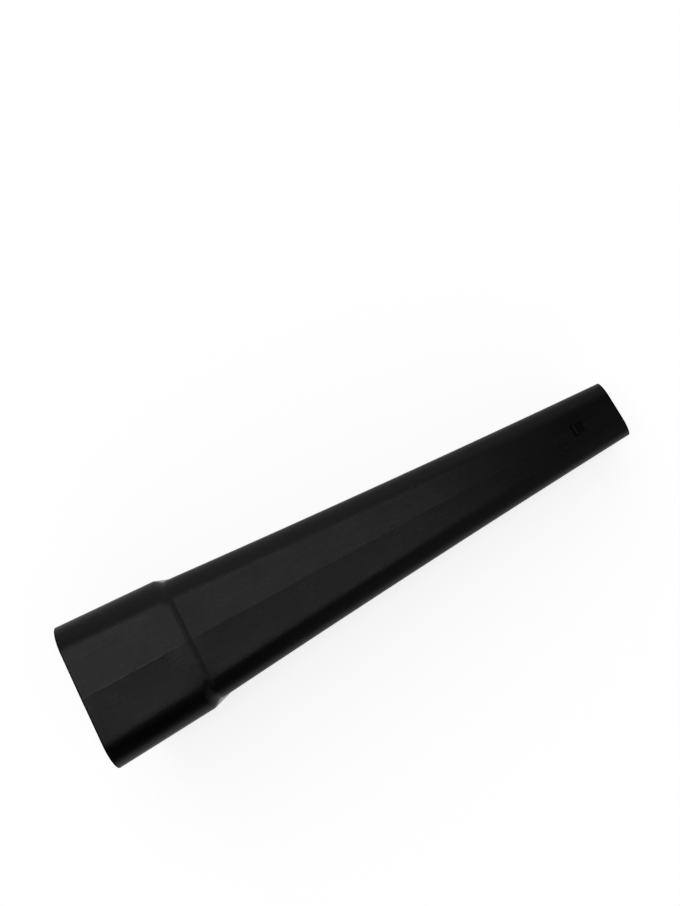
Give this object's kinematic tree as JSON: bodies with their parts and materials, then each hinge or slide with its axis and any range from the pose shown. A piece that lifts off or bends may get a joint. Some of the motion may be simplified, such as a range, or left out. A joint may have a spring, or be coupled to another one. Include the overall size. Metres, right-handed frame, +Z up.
{
  "type": "leaf blower nozzle tube",
  "caption": "Tapered black plastic blower tube: wide rounded-rectangular socket, rounded shoulder, then a long taper to a small mouth with a snap lug on the mould parting line.",
  "frame": {"origin": "on the floor under the middle of the tube's box, as it lies at rest", "axes": "+X along the tube towards the mouth, +Z up out of the face with the snap lug, +Y across the tube"},
  "size_m": [0.4832, 0.119, 0.098],
  "materials": {
    "black_plastic": "satin black moulded polyethylene with a fine grain"
  },
  "bodies": {
    "root": {"nozzle_tube": "black_plastic"}
  },
  "joints": []
}
